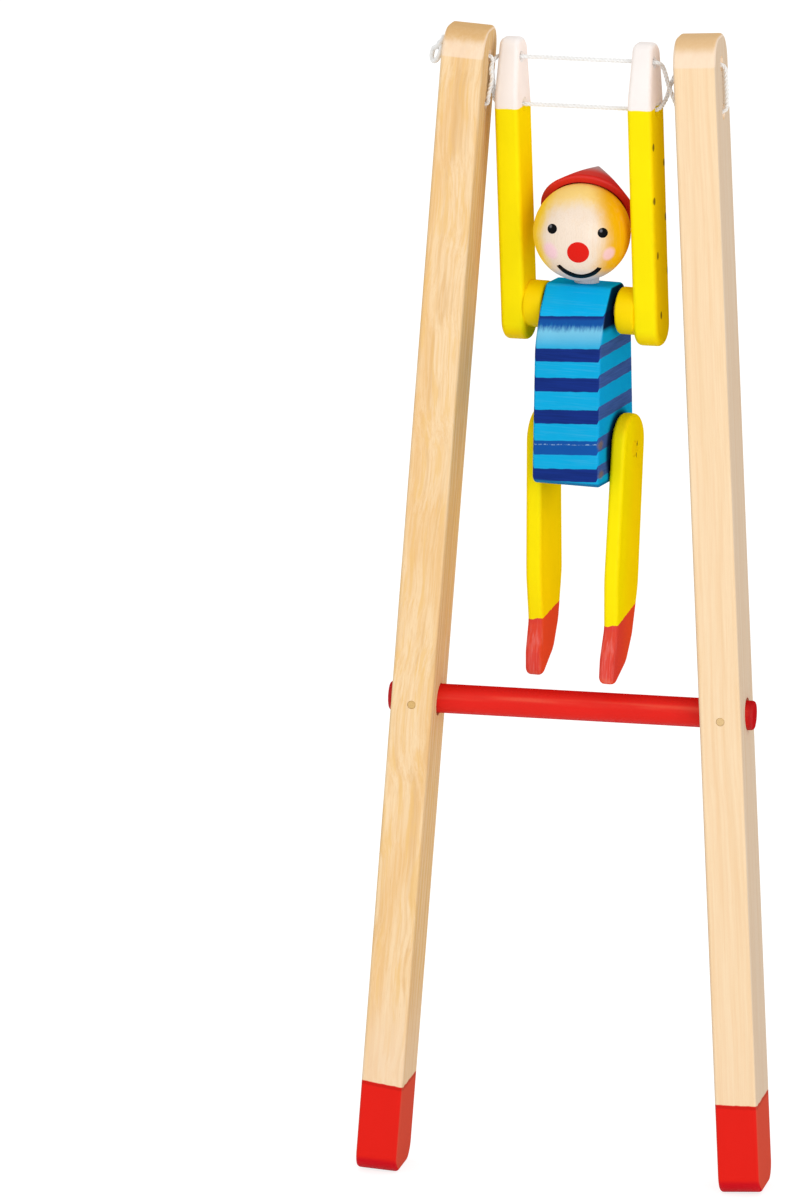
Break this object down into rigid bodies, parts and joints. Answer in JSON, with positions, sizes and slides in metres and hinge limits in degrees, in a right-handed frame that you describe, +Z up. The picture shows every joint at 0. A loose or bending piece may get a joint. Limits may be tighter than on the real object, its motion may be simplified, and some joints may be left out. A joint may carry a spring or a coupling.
{
  "type": "wooden acrobat toy",
  "caption": "Squeeze toy whose wooden uprights pivot on a crossbar; a twisted string between their tops turns over a jointed figure hung by its hands.",
  "frame": {"origin": "midway between the two feet at the level they stand at, where one hand holds and squeezes them", "axes": "+Z up along the toy's height, +X along the crossbar from the left upright to the right one, -Y towards the viewer"},
  "size_m": [0.1068, 0.0349, 0.3016],
  "materials": {
    "bare_wood": "sanded, unvarnished",
    "pin_wood": "sanded, unvarnished",
    "red_paint": "gloss paint on wood",
    "yellow_paint": "gloss paint on wood",
    "blue_paint": "gloss paint on wood",
    "face_paint": "gloss paint on wood",
    "string": "twisted cotton"
  },
  "bodies": {
    "crossbar": {"crossbar": "red_paint"},
    "left_upright": {"left_upright": "bare_wood", "left_pin": "pin_wood", "left_string_upper": "string", "left_string_lower": "string", "string_knot": "string"},
    "right_upright": {"right_upright": "bare_wood", "right_pin": "pin_wood", "right_string_loop": "string"},
    "arms": {"left_arm": "yellow_paint", "right_arm": "yellow_paint", "left_shoulder": "yellow_paint", "right_shoulder": "yellow_paint", "shoulder_axle": "pin_wood", "upper_hand_string": "string", "lower_hand_string": "string"},
    "torso": {"torso": "blue_paint", "neck": "pin_wood", "head": "face_paint", "hat": "red_paint", "hip_axle": "yellow_paint"},
    "left_leg": {"left_leg": "yellow_paint"},
    "right_leg": {"right_leg": "yellow_paint"}
  },
  "joints": [
    {"name": "left_squeeze", "type": "hinge", "parent": "crossbar", "child": "left_upright", "pos_m": [-0.04027, 0, 0.12525], "axis": [0, -1, 0], "range_deg": [0, 3.3], "deforming": ["left_string_upper", "left_string_lower"]},
    {"name": "right_squeeze", "type": "hinge", "parent": "crossbar", "child": "right_upright", "pos_m": [0.04027, 0, 0.12525], "axis": [0, 1, 0], "range_deg": [0, 3.3], "deforming": ["right_string_loop"]},
    {"name": "flip", "type": "hinge", "parent": "crossbar", "child": "arms", "pos_m": [0, 0, 0.28764], "axis": [1, 0, 0], "range_deg": [-180, 360], "deforming": ["upper_hand_string", "lower_hand_string"]},
    {"name": "torso_swing", "type": "hinge", "parent": "arms", "child": "torso", "pos_m": [0.00064, 0.00406, 0.22889], "axis": [0.9877, -0.1564, 0], "range_deg": [-100, 100]},
    {"name": "left_leg_swing", "type": "hinge", "parent": "torso", "child": "left_leg", "pos_m": [0.00127, 0.00801, 0.19229], "axis": [0.9877, -0.1564, 0], "range_deg": [-90, 90]},
    {"name": "right_leg_swing", "type": "hinge", "parent": "torso", "child": "right_leg", "pos_m": [0.00127, 0.00801, 0.19229], "axis": [0.9877, -0.1564, 0], "range_deg": [-90, 90]}
  ],
  "couplings": [
    {"joint": "right_squeeze", "follows": "left_squeeze", "ratio": 1}
  ]
}
